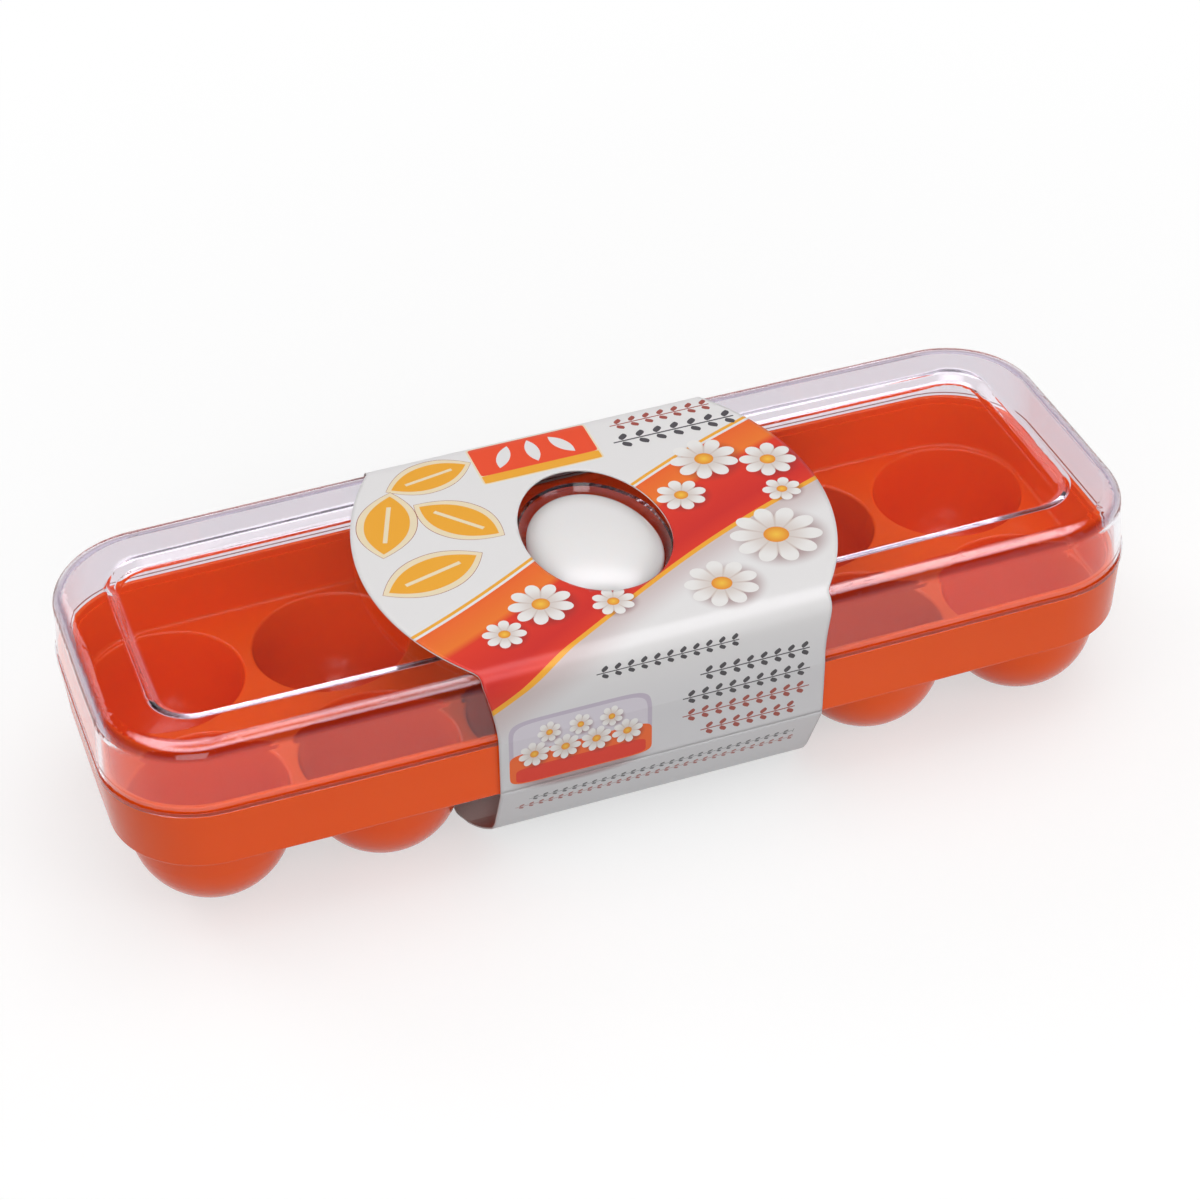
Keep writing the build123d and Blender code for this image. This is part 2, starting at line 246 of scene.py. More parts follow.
# ------------------------------------------------------------------ plastics, lengths in metres
ORANGES = ((0.92, 0.086, 0.003, 1.0), (0.95, 0.108, 0.004, 1.0))
WHITES = ((0.86, 0.84, 0.835, 1.0), (0.9, 0.88, 0.87, 1.0))
CLEAR = (0.93, 0.92, 0.955, 1.0)
# painted shade: dark plum put into the lid's colour along its outer upper edge
PAINTED_SHADE_PLUM = (0.34, 0.26, 0.33, 1.0)
LID_TINT = (0.62, 0.52, 0.64, 1.0)
LID_DENSITY = 7.0
LID_SHADOW = (0.985, 0.98, 0.985, 1.0)  # light that the lid lets through
LID_CORNER = 0.032  # radius of the lid's corners in plan
PAINTED_SHADE_WIDTH = 0.0038  # width of the painted plum shade on the edge
EDGE_DEEP = 0.003  # how far the painted shade runs down the wall
EDGE_BLEND = 0.0018
FLOW_SCALE = 18.0  # noise scales, the larger the finer
SHEEN_SCALE = 60.0
GRAIN_SCALE = 900.0
WAVE_SCALE = 22.0
CLOUD_SCALE = 30.0
SATIN_SCALE = 700.0


def orange_plastic():
    """Glossy moulded plastic, a little translucent, with faint flow marks."""
    tree = Finish("tray_orange")
    place = tree.objects()
    colour = tree.mix(tree.noise(place, FLOW_SCALE, 3.0), *ORANGES)
    fine = tree.noise(place, GRAIN_SCALE)
    shader = tree.principled(
        Base_Color=colour,
        Roughness=tree.math("MULTIPLY_ADD", tree.noise(place, SHEEN_SCALE), 0.08, 0.15),
        IOR=1.5,
        Specular_IOR_Level=0.25,
        Subsurface_Weight=0.15,
        Subsurface_Radius=(1.0, 0.25, 0.08),
        Subsurface_Scale=0.0015,
        Normal=tree.bump(fine, 0.04, 0.0002),
    )
    return tree.done(shader)


def painted_edge_shade(tree, place):
    """Painted shade: 1 along the lid's outer upper edge, 0 elsewhere."""
    low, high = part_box("lid")
    x, y, z = tree.apart(place)
    beyond = []
    for value, half in ((x, high[0]), (y, -low[1])):
        out = tree.math("SUBTRACT", tree.math("ABSOLUTE", value), half - LID_CORNER)
        beyond.append(tree.math("POWER", tree.math("MAXIMUM", out, 0.0), 2.0))
    reach = tree.math("SQRT", tree.math("ADD", *beyond))
    rim = tree.fall(reach, LID_CORNER - PAINTED_SHADE_WIDTH, LID_CORNER - PAINTED_SHADE_WIDTH - EDGE_BLEND)
    upper = tree.fall(z, high[2] - EDGE_DEEP, high[2] - EDGE_DEEP - EDGE_BLEND)
    return tree.both(rim, upper)


def clear_plastic():
    """Clear glossy plastic that lets lamplight through, with painted plum shade along the thick
    outer edge.
    """
    tree = Finish("lid_clear")
    place = tree.objects()
    shader = tree.principled(
        # painted shade: the base colour turns plum along the outer upper edge
        Base_Color=tree.mix(painted_edge_shade(tree, place), CLEAR, PAINTED_SHADE_PLUM),
        Roughness=0.012,
        IOR=1.47,
        Transmission_Weight=1.0,
        Normal=tree.bump(tree.noise(place, WAVE_SCALE, 1.0), 0.03, 0.0005),
    )
    tint = tree.nodes.new("ShaderNodeVolumeAbsorption")
    tint.inputs["Color"].default_value = LID_TINT
    tint.inputs["Density"].default_value = LID_DENSITY
    tree.links.new(tint.outputs[0], tree.out.inputs["Volume"])
    see = tree.nodes.new("ShaderNodeBsdfTransparent")
    see.inputs["Color"].default_value = LID_SHADOW
    path = tree.nodes.new("ShaderNodeLightPath")
    return tree.done(
        tree.mix_shaders(path.outputs["Is Shadow Ray"], shader, see.outputs[0])
    )


def white_plastic():
    """Opaque glossy white plastic with a soft glow."""
    tree = Finish("medallion_white")
    place = tree.objects()
    shader = tree.principled(
        Base_Color=tree.mix(tree.noise(place, CLOUD_SCALE), *WHITES),
        Roughness=0.22,
        IOR=1.5,
        Subsurface_Weight=0.2,
        Subsurface_Radius=(1.0, 0.7, 0.6),
        Subsurface_Scale=0.002,
        Normal=tree.bump(tree.noise(place, SATIN_SCALE), 0.03, 0.0002),
    )
    return tree.done(shader)


# ------------------------------------------------------------------ card sleeve's shape, mm
BEAD_Z = 54.6  # top of the lid's bead
CARD_TOP_Z = 78.1
CARD_BOTTOM_Z = 0.5
CARD_THICKNESS = 0.5
CARD_FRONT_Y = -61.8
CARD_BACK_Y = 66.9
CARD_LID_DRAFT = 1.5  # how far the front panel leans back over the lid
BACK_LEAN = 0.36  # how fast the back panel leans out towards the hinge
BACK_FOOT_Z = 55.1  # the crease beside the hinge lies between these two heights
BACK_LOWER_Z = 49.6
FOLD_Y = 60.1  # the folds at the band's lower edge
FOLD_Z = 33.2
WRAP_RADIUS = 25.7  # round the cups
CUP_ROW_Y = 27.3
CUP_CENTRE_Z = 25.703
FRONT_FOLD = 7.0  # radii of the folds
BACK_FOLD = 6.3
EDGE_FOLD = 2.0
BAND_FOLD = 10.0
FRONT_HALF = 53.0  # half widths of the card, from the front round to the back
WAIST_HALF = 52.3
WAIST_Y = -43.0
FLARE_HALF = 58.6
FLARE_Y = -27.0
FRONT_TOP_HALF = 56.0
MIDDLE_HALF = 75.5
MIDDLE_Y = -3.0
BACK_HALF = 58.0
CORNER_START = 3.0  # below the card's top, where the front panel starts to narrow
CORNER_DROP = 20.0
CORNER_SWELL = 0.6
WINDOW_HALF = 23.2
WINDOW_FRONT = 31.0
WINDOW_BACK = 35.5
WINDOW_Y = -2.7
WINDOW_FACETS = 96
WINDOW_CUT = 3  # how far the cut reaches above and below the card's top
STEP = 1.5  # length of a facet along the card
FOLD_FACETS = 3  # the fewest in a fold
WRAP_FACETS = 12
PRINTED, PLAIN = 0, 1  # material slots of the card
SHEET_X, SHEET_Y = 200.0, 400.0  # size that the print's coordinates span


def rounded_path(corners, radii):
    """Points along a line of corners, each inner corner rounded by its radius."""
    points = [Vector(corners[0])]
    for i, radius in enumerate(radii):
        before, here, after = (Vector(corners[i + k]) for k in range(3))
        a = (before - here).normalized()
        b = (after - here).normalized()
        half = a.angle(b) / 2
        reach = radius / tan(half)
        centre = here + (a + b).normalized() * (radius / sin(half))
        first = here + a * reach - centre
        last = here + b * reach - centre
        turn = pi - 2 * half
        count = max(FOLD_FACETS, ceil(radius * turn / STEP))
        for k in range(count + 1):
            t = k / count
            weight = sin((1 - t) * turn) / sin(turn), sin(t * turn) / sin(turn)
            points.append(centre + first * weight[0] + last * weight[1])
    points.append(Vector(corners[-1]))
    return points


def divided(points):
    """The same line with no facet longer than STEP."""
    out = [points[0]]
    for a, b in zip(points, points[1:]):
        count = max(1, ceil((b - a).length / STEP))
        out += [a.lerp(b, k / count) for k in range(1, count + 1)]
    return out


def three_point_arc(a, b, c):
    """Centre and radius of the circle through three points."""
    d = 2 * (a[0] * (b[1] - c[1]) + b[0] * (c[1] - a[1]) + c[0] * (a[1] - b[1]))
    squares = [p[0] ** 2 + p[1] ** 2 for p in (a, b, c)]
    x = (squares[0] * (b[1] - c[1]) + squares[1] * (c[1] - a[1]) + squares[2] * (a[1] - b[1])) / d
    y = (squares[0] * (c[0] - b[0]) + squares[1] * (a[0] - c[0]) + squares[2] * (b[0] - a[0])) / d
    return x, y, hypot(a[0] - x, a[1] - y)


FRONT_TOP_Y = CARD_FRONT_Y + CARD_LID_DRAFT
BACK_TOP_Y = CARD_BACK_Y - BACK_LEAN * (CARD_TOP_Z - BACK_FOOT_Z)
SIDE_FRONT_Y = FRONT_TOP_Y + FRONT_FOLD / 2
SIDE_BACK_Y = BACK_TOP_Y - BACK_FOLD / 2
SIDE_X, SIDE_Y, SIDE_RADIUS = three_point_arc(
    (FRONT_TOP_HALF, SIDE_FRONT_Y), (MIDDLE_HALF, MIDDLE_Y), (BACK_HALF, SIDE_BACK_Y)
)


def over_half(y, z):
    """Half the card's width at a point of its section above the cups."""
    if y > SIDE_BACK_Y:
        return BACK_HALF
    if y > SIDE_FRONT_Y:
        return SIDE_X + (SIDE_RADIUS ** 2 - (y - SIDE_Y) ** 2) ** 0.5
    t = min(1.0, max(0.0, (CARD_TOP_Z - CORNER_START - z) / CORNER_DROP))
    return FRONT_HALF + (FRONT_TOP_HALF - FRONT_HALF) * (1 - t) ** 2 * (1 + CORNER_SWELL * t)


def under_half(y, _z):
    """Half the card's width where it wraps the cups: a waist in front, then a flare."""
    stations = (
        (-FOLD_Y, FRONT_HALF),
        (WAIST_Y, WAIST_HALF),
        (FLARE_Y, FLARE_HALF),
        (FOLD_Y, BACK_HALF),
    )
    for (y0, half0), (y1, half1) in zip(stations, stations[1:]):
        if y <= y1:
            return half0 + (half1 - half0) * max(0.0, y - y0) / (y1 - y0)
    return BACK_HALF


def strip_vertices(points, width_of, columns):
    """Two layers of rows across the strip, the inner one first."""
    count = len(points)
    normals = []
    for i in range(count):
        along = (points[min(i + 1, count - 1)] - points[max(i - 1, 0)]).normalized()
        normals.append(Vector((-along.y, along.x)))
    vertices = []
    for side in (0.0, CARD_THICKNESS):
        for point, normal in zip(points, normals):
            at = point + normal * side
            half = width_of(point.x, point.y)
            for k in range(columns + 1):
                x = half * (2 * k / columns - 1)
                vertices.append((x * MM, at.x * MM, at.y * MM))
    return vertices


def strip_faces(count, columns):
    """Faces of the strip with their material slots: outside, inside and the four edges."""
    row = columns + 1
    layer = row * count
    faces, kinds = [], []
    for i in range(count - 1):
        for k in range(columns):
            a = i * row + k
            faces.append((layer + a, layer + a + 1, layer + a + row + 1, layer + a + row))
            faces.append((a, a + row, a + row + 1, a + 1))
            kinds += [PRINTED, PLAIN]
        a = i * row
        b = a + columns
        faces.append((a, layer + a, layer + a + row, a + row))
        faces.append((b, b + row, layer + b + row, layer + b))
        kinds += [PLAIN, PLAIN]
    for a in range(columns):
        b = (count - 1) * row + a
        faces.append((a, a + 1, layer + a + 1, layer + a))
        faces.append((b, layer + b, layer + b + 1, b + 1))
        kinds += [PLAIN, PLAIN]
    return faces, kinds


def sweep_card(name, points, lengths, width_of):
    """A card strip: its inner line swept across its width, with thickness and print coordinates.

    A length is a point's place along the flat blank, counted from the middle of the top.
    """
    columns = 2 * ceil(max(width_of(p.x, p.y) for p in points) / STEP)
    faces, kinds = strip_faces(len(points), columns)
    mesh = bpy.data.meshes.new(name)
    mesh.from_pydata(strip_vertices(points, width_of, columns), [], faces)
    uv = mesh.uv_layers.new(name="print")
    for face, kind in zip(mesh.polygons, kinds):
        face.material_index = kind
        face.use_smooth = kind == PRINTED
        for loop in face.loop_indices:
            vertex = mesh.loops[loop].vertex_index
            across = mesh.vertices[vertex].co.x / MM
            along = lengths[vertex // (columns + 1) % len(points)]
            uv.data[loop].uv = (0.5 + across / SHEET_X, 0.5 + along / SHEET_Y)
    piece = bpy.data.objects.new(name, mesh)
    bpy.context.scene.collection.objects.link(piece)
    return piece


def window_outline():
    """Egg outline, two half ellipses that meet at the widest line."""
    out = []
    for k in range(WINDOW_FACETS):
        a = 2 * pi * k / WINDOW_FACETS
        reach = WINDOW_BACK if sin(a) > 0 else WINDOW_FRONT
        out.append((WINDOW_HALF * cos(a), WINDOW_Y + reach * sin(a)))
    return out


def cut_window(card):
    """Cuts the egg-shaped window through the card's top."""
    outline = window_outline()
    count = len(outline)
    heights = (CARD_TOP_Z - WINDOW_CUT, CARD_TOP_Z + WINDOW_CUT)
    vertices = [(x * MM, y * MM, z * MM) for z in heights for x, y in outline]
    faces = [tuple(reversed(range(count))), tuple(range(count, 2 * count))]
    for k in range(count):
        n = (k + 1) % count
        faces.append((k, n, count + n, count + k))
    mesh = bpy.data.meshes.new("cutter")
    mesh.from_pydata(vertices, [], faces)
    for face in mesh.polygons:
        face.material_index = PLAIN
    for material in card.data.materials:
        mesh.materials.append(material)
    cutter = bpy.data.objects.new("cutter", mesh)
    bpy.context.scene.collection.objects.link(cutter)
    cut = card.modifiers.new("window", "BOOLEAN")
    cut.operation = "DIFFERENCE"
    cut.solver = "EXACT"
    cut.object = cutter
    bpy.context.view_layer.update()
    graph = bpy.context.evaluated_depsgraph_get()
    result = bpy.data.meshes.new_from_object(card.evaluated_get(graph))
    card.modifiers.clear()
    card.data = result
    bpy.data.objects.remove(cutter)


# ------------------------------------------------------------------ card's print, mm
WHITE = (0.8, 0.785, 0.78, 1.0)
# painted shade for the lower front panel
SHADE = (0.66, 0.655, 0.67, 1.0)
CREAM = (0.84, 0.72, 0.5, 1.0)
AMBER = (0.87, 0.4, 0.03, 1.0)
BRIGHT_ORANGE = (0.84, 0.19, 0.02, 1.0)
ORANGE = (0.83, 0.13, 0.018, 1.0)
RED_ORANGE = (0.84, 0.075, 0.02, 1.0)
RED = (0.72, 0.035, 0.012, 1.0)
DEEP_RED = (0.6, 0.02, 0.012, 1.0)
WINE = (0.2, 0.02, 0.02, 1.0)
RUST = (0.34, 0.07, 0.05, 1.0)
HAZE = (0.45, 0.27, 0.26, 1.0)
INK = (0.06, 0.055, 0.06, 1.0)
LILAC = (0.52, 0.46, 0.55, 1.0)
PALE_LILAC = (0.66, 0.62, 0.68, 1.0)
PETAL = (0.84, 0.82, 0.8, 1.0)
PETAL_SHADE = (0.62, 0.52, 0.47, 1.0)
HEART = (0.9, 0.55, 0.06, 1.0)
HEART_EDGE = (0.78, 0.26, 0.02, 1.0)

SHADOW_CORE = 0.55  # share of a soft shadow that is at full depth
DAISY_SHADOW_RIGHT = 0.1  # shares of a daisy's size
DAISY_SHADOW_DOWN = 0.16
DAISY_SHADOW_WIDTH = 1.12
DAISY_SHADOW_HEIGHT = 1.05
DAISY_SHADOW_DEPTH = 0.6
HEART_SIZE = 0.27
PETAL_REACH = 0.55  # where the petals part
PETAL_LENGTH = 0.42
PETAL_POWER = 0.55
PETAL_GROOVE = 0.4
PETAL_FOOT = (0.25, 0.8, 0.7)  # shade round the heart: from, to, depth
LEAF_POWER = 2.2  # pointedness
LEAF_RIM = 0.28  # cream border, as a share of half the leaf's height
LEAF_LINE = 0.07  # past the border
LEAF_LINE_WIDTH = 0.03
LEAF_HEIGHT = 0.47  # of an amber leaf's length
VEIN_WIDTH = 0.1
VEIN_LENGTH = 0.62
SPRIG_WIDE = 0.24  # half a leaf's width, as a share of the pitch
SPRIG_OFF = 0.56  # a leaf's middle, as a share of half the row's height
SPRIG_TALL = 0.44
SPRIG_STEM = 0.08
SPRIG_LEAN = 0.55

RIBBON_LEVEL = 3.0  # height of its upper edge in the middle
RIBBON_SLOPE = 0.5
RIBBON_SWING = 3.0
RIBBON_PITCH = 170.0
RIBBON_SHIFT = 0.4
RIBBON_SPAN = 42.0  # depth over which its colours run
RIBBON_COLOURS = (
    (0.0, ORANGE),
    (0.28, BRIGHT_ORANGE),
    (0.36, RED),
    (0.8, DEEP_RED),
    (1.0, RED),
)
RIBBON_TOP_LINE = -2.6  # depths of its amber lines, its white line and the shadow under it
RIBBON_WHITE_LINE = -1.2
RIBBON_FOOT = 41.0
RIBBON_FOOT_LINE = 43.0
RIBBON_SHADOW = 58.0
RIBBON_SHADOW_DEPTH = 0.5
DAISIES = (  # x, y, size, turn, petals
    (46, 22, 11.5, 10, 9),
    (65, 14, 9.5, 25, 8),
    (32, 6, 8.5, 0, 8),
    (63, -3, 6.5, 12, 7),
    (-28, -31, 10.5, 12, 9),
    (-43, -41, 7.0, 30, 8),
    (-7, -38, 7.0, 5, 8),
    (52, -25, 15.0, 18, 10),
    (27, -42, 12.0, 4, 9),
)
LEAVES = (  # x, y, half length, turn
    (-40, 46, 13.5, 10),
    (-60, 26, 15.5, 70),
    (-38, 20, 15.0, -50),
    (-54, -4, 16.0, 15),
)
TAG_CORNER = 24.0  # powers: the higher, the squarer
TAG = (  # x, y, half width, half height, colour
    (-4, 45.5, 20.6, 10.6, CREAM),
    (-4, 47.6, 20.0, 7.9, RED_ORANGE),
    (-4, 37.6, 20.0, 2.1, AMBER),
)
TAG_LEAVES = ((-14.0, 62), (-4.0, 90), (6.0, 118))  # x, turn
TAG_LEAF_Y = 47.6
TAG_LEAF = (6.2, 2.2)
TOP_SPRIGS = (  # x, y, length, height, pitch, colour
    (24.0, 51.0, 35.0, 6.2, 5.0, RUST),
    (22.0, 41.5, 42.0, 8.0, 6.0, INK),
)
FRONT_SPRIGS = (
    (-21.0, -64.5, 46.0, 4.4, 4.2, INK),
    (12.0, -74.0, 36.0, 5.2, 4.5, INK),
    (6.0, -81.5, 42.0, 5.2, 4.5, INK),
    (6.0, -89.0, 42.0, 5.2, 4.5, RUST),
    (12.0, -96.5, 31.5, 5.2, 4.5, RUST),
    (-43.0, -111.0, 88.0, 3.4, 3.2, INK),
    (-47.0, -116.0, 92.8, 3.4, 3.2, RUST),
)
PICTURE_SHADOW = (-27, -99.5, 25.0, 6.0, 0.55)  # x, y, half width, half height, depth
PICTURE = (  # x, y, half width, half height, colour, power
    (-27.0, -86.5, 23.0, 12.0, LILAC, 7.0),
    (-27.0, -86.5, 21.6, 10.6, PALE_LILAC, 7.0),
    (-27.0, -93.5, 23.0, 6.5, ORANGE, 7.0),
    (-27.0, -96.5, 21.0, 3.2, RED, 6.0),
)
PICTURE_DAISIES = (  # y, size, petals, turn for each millimetre of x, xs
    (-88.5, 5.2, 8, 3.0, (-42, -32, -22, -12)),
    (-81.0, 4.0, 7, 2.0, (-37, -27, -17)),
)
FRONT_SHADE = (-88.0, -52.0)  # heights between which painted shade darkens the front panel
BOARDS = ((0.7, 0.69, 0.67, 1.0), (0.8, 0.79, 0.78, 1.0))
FIBRE_SCALE = 1500.0
BOARD_SCALE = 1200.0


class Print(Finish):
    """Shapes laid one over another on the card, in millimetres of the flat blank."""

    def __init__(self, name, ground):
        super().__init__(name)
        uv = self.nodes.new("ShaderNodeUVMap")
        uv.uv_map = "print"
        scale = self.nodes.new("ShaderNodeMapping")
        scale.inputs["Location"].default_value = (-SHEET_X / 2, -SHEET_Y / 2, 0.0)
        scale.inputs["Scale"].default_value = (SHEET_X, SHEET_Y, 1.0)
        self.links.new(uv.outputs[0], scale.inputs["Vector"])
        self.place = scale.outputs[0]
        self.x, self.y, _ = self.apart(self.place)
        self.colour = ground

    def lay(self, mask, colour):
        self.colour = self.mix(mask, self.colour, colour)

    def unsigned(self, value):
        return self.math("ABSOLUTE", value)

    def between(self, value, low, high):
        return self.both(
            self.math("GREATER_THAN", value, low), self.math("LESS_THAN", value, high)
        )

    def local(self, x, y, half_x, half_y, turn=0.0):
        """Coordinates of a turned box: -1 to 1 from edge to edge."""
        node = self.nodes.new("ShaderNodeMapping")
        node.vector_type = "TEXTURE"
        node.inputs["Location"].default_value = (x, y, 0.0)
        node.inputs["Rotation"].default_value = (0.0, 0.0, radians(turn))
        node.inputs["Scale"].default_value = (half_x, half_y, 1.0)
        self.links.new(self.place, node.inputs["Vector"])
        return node.outputs[0]

    def soft_shadow(self, x, y, half_x, half_y, depth, turn=0.0):
        """A blurred dark patch."""
        edge = self.length(self.local(x, y, half_x, half_y, turn))
        self.lay(self.fall(edge, SHADOW_CORE, 1.0, depth), WINE)

    def daisy(self, x, y, size, turn, petals):
        """A white flower with shaded petals, an amber middle and a soft shadow."""
        self.soft_shadow(
            x + size * DAISY_SHADOW_RIGHT,
            y - size * DAISY_SHADOW_DOWN,
            size * DAISY_SHADOW_WIDTH,
            size * DAISY_SHADOW_HEIGHT,
            DAISY_SHADOW_DEPTH,
            turn,
        )
        vector = self.local(x, y, size, size, turn)
        across, up, _ = self.apart(vector)
        edge = self.length(vector)
        angle = self.math("ARCTAN2", up, across)
        lobe = self.unsigned(self.math("COSINE", self.both(angle, petals / 2)))
        tip = self.math("POWER", lobe, PETAL_POWER)
        share = self.math(
            "DIVIDE", edge, self.math("MULTIPLY_ADD", tip, PETAL_LENGTH, PETAL_REACH)
        )
        groove = self.ramp(lobe, [(0.0, PETAL_SHADE), (PETAL_GROOVE, PETAL), (1.0, PETAL)])
        tone = self.mix(self.fall(edge, *PETAL_FOOT), groove, PETAL_SHADE)
        self.lay(self.math("LESS_THAN", share, 1.0), tone)
        heart = self.ramp(edge, [(0.0, HEART), (HEART_SIZE, HEART_EDGE)])
        self.lay(self.math("LESS_THAN", edge, HEART_SIZE), heart)

    def leaf(self, x, y, half_x, half_y, turn, fill, rim=0.0):
        """A pointed leaf; with a rim it has a cream border, a fine line and a pale vein."""
        across, up, _ = self.apart(self.local(x, y, half_x, half_y, turn))
        bow = self.math("SUBTRACT", 1.0, self.math("POWER", self.unsigned(across), LEAF_POWER))
        share = self.math("SUBTRACT", bow, self.unsigned(up))
        if rim:
            line = rim + LEAF_LINE
            self.lay(self.math("GREATER_THAN", share, -line), RUST)
            self.lay(self.math("GREATER_THAN", share, LEAF_LINE_WIDTH - line), CREAM)
        self.lay(self.math("GREATER_THAN", share, 0.0), fill)
        if rim:
            vein = self.both(
                self.math("LESS_THAN", self.unsigned(up), VEIN_WIDTH),
                self.math("LESS_THAN", self.unsigned(across), VEIN_LENGTH),
            )
            self.lay(vein, CREAM)

    def block(self, x, y, half_x, half_y, colour, power):
        """A rounded rectangle, as a high power of an ellipse."""
        across, up, _ = self.apart(self.local(x, y, half_x, half_y))
        powers = [self.math("POWER", self.unsigned(value), power) for value in (across, up)]
        self.lay(self.math("LESS_THAN", self.math("ADD", *powers), 1.0), colour)

    def sprigs(self, x, y, run, height, pitch, colour):
        """A row of small slanted leaves in pairs, from x to x + run."""
        step = self.math("SUBTRACT", self.x, x)
        at = self.math("SUBTRACT", self.math("MODULO", step, pitch), pitch / 2)
        level = self.math("DIVIDE", self.math("SUBTRACT", self.y, y), height / 2)
        slant = self.math("MULTIPLY_ADD", self.unsigned(level), -SPRIG_LEAN * pitch / 2, at)
        wide = self.math("DIVIDE", slant, pitch * SPRIG_WIDE)
        off = self.math("SUBTRACT", self.unsigned(level), SPRIG_OFF)
        tall = self.math("DIVIDE", off, SPRIG_TALL)
        bow = self.math("SUBTRACT", 1.0, self.both(tall, tall))
        inside = self.math("LESS_THAN", self.unsigned(wide), bow)
        stem = self.math("LESS_THAN", self.unsigned(level), SPRIG_STEM)
        mask = self.math("MAXIMUM", inside, stem)
        self.lay(self.both(mask, self.between(step, 0.0, run)), colour)


def print_ribbon(tree):
    """The red-orange ribbon that rolls across the top, with daisies on it."""
    roll = tree.math("MULTIPLY_ADD", tree.x, 2 * pi / RIBBON_PITCH, RIBBON_SHIFT)
    roll = tree.math("SINE", roll)
    line = tree.math("MULTIPLY_ADD", tree.x, RIBBON_SLOPE, RIBBON_LEVEL)
    line = tree.math("MULTIPLY_ADD", roll, RIBBON_SWING, line)
    depth = tree.math("SUBTRACT", line, tree.y)
    tone = tree.ramp(tree.math("DIVIDE", depth, RIBBON_SPAN), RIBBON_COLOURS)
    tree.lay(tree.between(depth, RIBBON_TOP_LINE, RIBBON_FOOT_LINE), AMBER)
    tree.lay(tree.between(depth, RIBBON_WHITE_LINE, 0.0), WHITE)
    tree.lay(tree.between(depth, 0.0, RIBBON_FOOT), tone)
    haze = tree.fall(depth, RIBBON_FOOT_LINE, RIBBON_SHADOW, RIBBON_SHADOW_DEPTH)
    tree.lay(tree.both(haze, tree.math("GREATER_THAN", depth, RIBBON_FOOT_LINE)), HAZE)
    for daisy in DAISIES:
        tree.daisy(*daisy)


def print_leaves(tree):
    """Amber leaves with cream rims, scattered on the left."""
    for x, y, half, turn in LEAVES:
        tree.leaf(x, y, half, LEAF_HEIGHT * half, turn, AMBER, LEAF_RIM)


def print_tag(tree):
    """Red-orange tag with an amber foot and three white leaves."""
    for block in TAG:
        tree.block(*block, TAG_CORNER)
    for x, turn in TAG_LEAVES:
        tree.leaf(x, TAG_LEAF_Y, *TAG_LEAF, turn, WHITE)


def print_front(tree):
    """Rows of sprigs and a small picture of daisies in a tray, on the front panel."""
    for row in FRONT_SPRIGS:
        tree.sprigs(*row)
    tree.soft_shadow(*PICTURE_SHADOW)
    for block in PICTURE:
        tree.block(*block)
    for y, size, petals, turn, xs in PICTURE_DAISIES:
        for x in xs:
            tree.daisy(x, y, size, x * turn, petals)


def printed_card():
    """The sleeve's printed face: ribbon, daisies, leaves and sprigs, with no lettering."""
    tree = Print("card_print", WHITE)
    # painted shade: the front panel darker towards its foot
    tree.lay(tree.fall(tree.y, *FRONT_SHADE), SHADE)
    print_ribbon(tree)
    print_leaves(tree)
    print_tag(tree)
    for row in TOP_SPRIGS:
        tree.sprigs(*row)
    print_front(tree)
    fibre = tree.noise(tree.objects(), FIBRE_SCALE, 3.0)
    shader = tree.principled(
        Base_Color=tree.colour,
        Roughness=0.4,
        IOR=1.45,
        Coat_Weight=0.1,
        Coat_Roughness=0.25,
        Normal=tree.bump(fibre, 0.05, 0.0001),
    )
    return tree.done(shader)


def plain_card():
    """The board's inside and its cut edges."""
    tree = Finish("card_board")
    fibre = tree.noise(tree.objects(), BOARD_SCALE, 4.0, 0.7)
    shader = tree.principled(
        Base_Color=tree.mix(fibre, *BOARDS),
        Roughness=0.75,
        Normal=tree.bump(fibre, 0.15, 0.0001),
    )
    return tree.done(shader)


def wrapped(centre_y, start, turn):
    """Points round a cup in the section, angles down from level on the +Y side."""
    return [
        Vector((centre_y + WRAP_RADIUS * cos(a), CUP_CENTRE_Z - WRAP_RADIUS * sin(a)))
        for a in (start + turn * k / WRAP_FACETS for k in range(WRAP_FACETS + 1))
    ]


def card_lines():
    """The card's inner line in two parts: over the top, and under the cups to the front seam."""
    fold_run = FOLD_Y - CUP_ROW_Y
    fold_rise = FOLD_Z - CUP_CENTRE_Z
    touch = acos(WRAP_RADIUS / hypot(fold_run, fold_rise)) - atan2(fold_rise, fold_run)
    bottom = asin((CUP_CENTRE_Z - CARD_BOTTOM_Z) / WRAP_RADIUS)
    back_wrap = wrapped(CUP_ROW_Y, touch, bottom - touch)
    front_wrap = wrapped(-CUP_ROW_Y, pi - bottom, bottom - touch)
    front = rounded_path(
        [front_wrap[-1], (-FOLD_Y, FOLD_Z), (CARD_FRONT_Y, BEAD_Z)], [BAND_FOLD]
    )
    seam = len(front) // 2
    over = front[seam:-1] + rounded_path(
        [
            front[-2],
            (CARD_FRONT_Y, BEAD_Z),
            (FRONT_TOP_Y, CARD_TOP_Z),
            (BACK_TOP_Y, CARD_TOP_Z),
            (CARD_BACK_Y, (BACK_FOOT_Z + BACK_LOWER_Z) / 2),
            (FOLD_Y, FOLD_Z),
        ],
        [EDGE_FOLD, FRONT_FOLD, BACK_FOLD, EDGE_FOLD],
    )[1:]
    under = [Vector((FOLD_Y, FOLD_Z))] + back_wrap + front_wrap + front[1 : seam + 1]
    return divided(over), divided(under)


def run_lengths(line, start):
    """Each point's place along the line, counted on from start."""
    lengths = [start]
    for a, b in zip(line, line[1:]):
        lengths.append(lengths[-1] + (b - a).length)
    return lengths


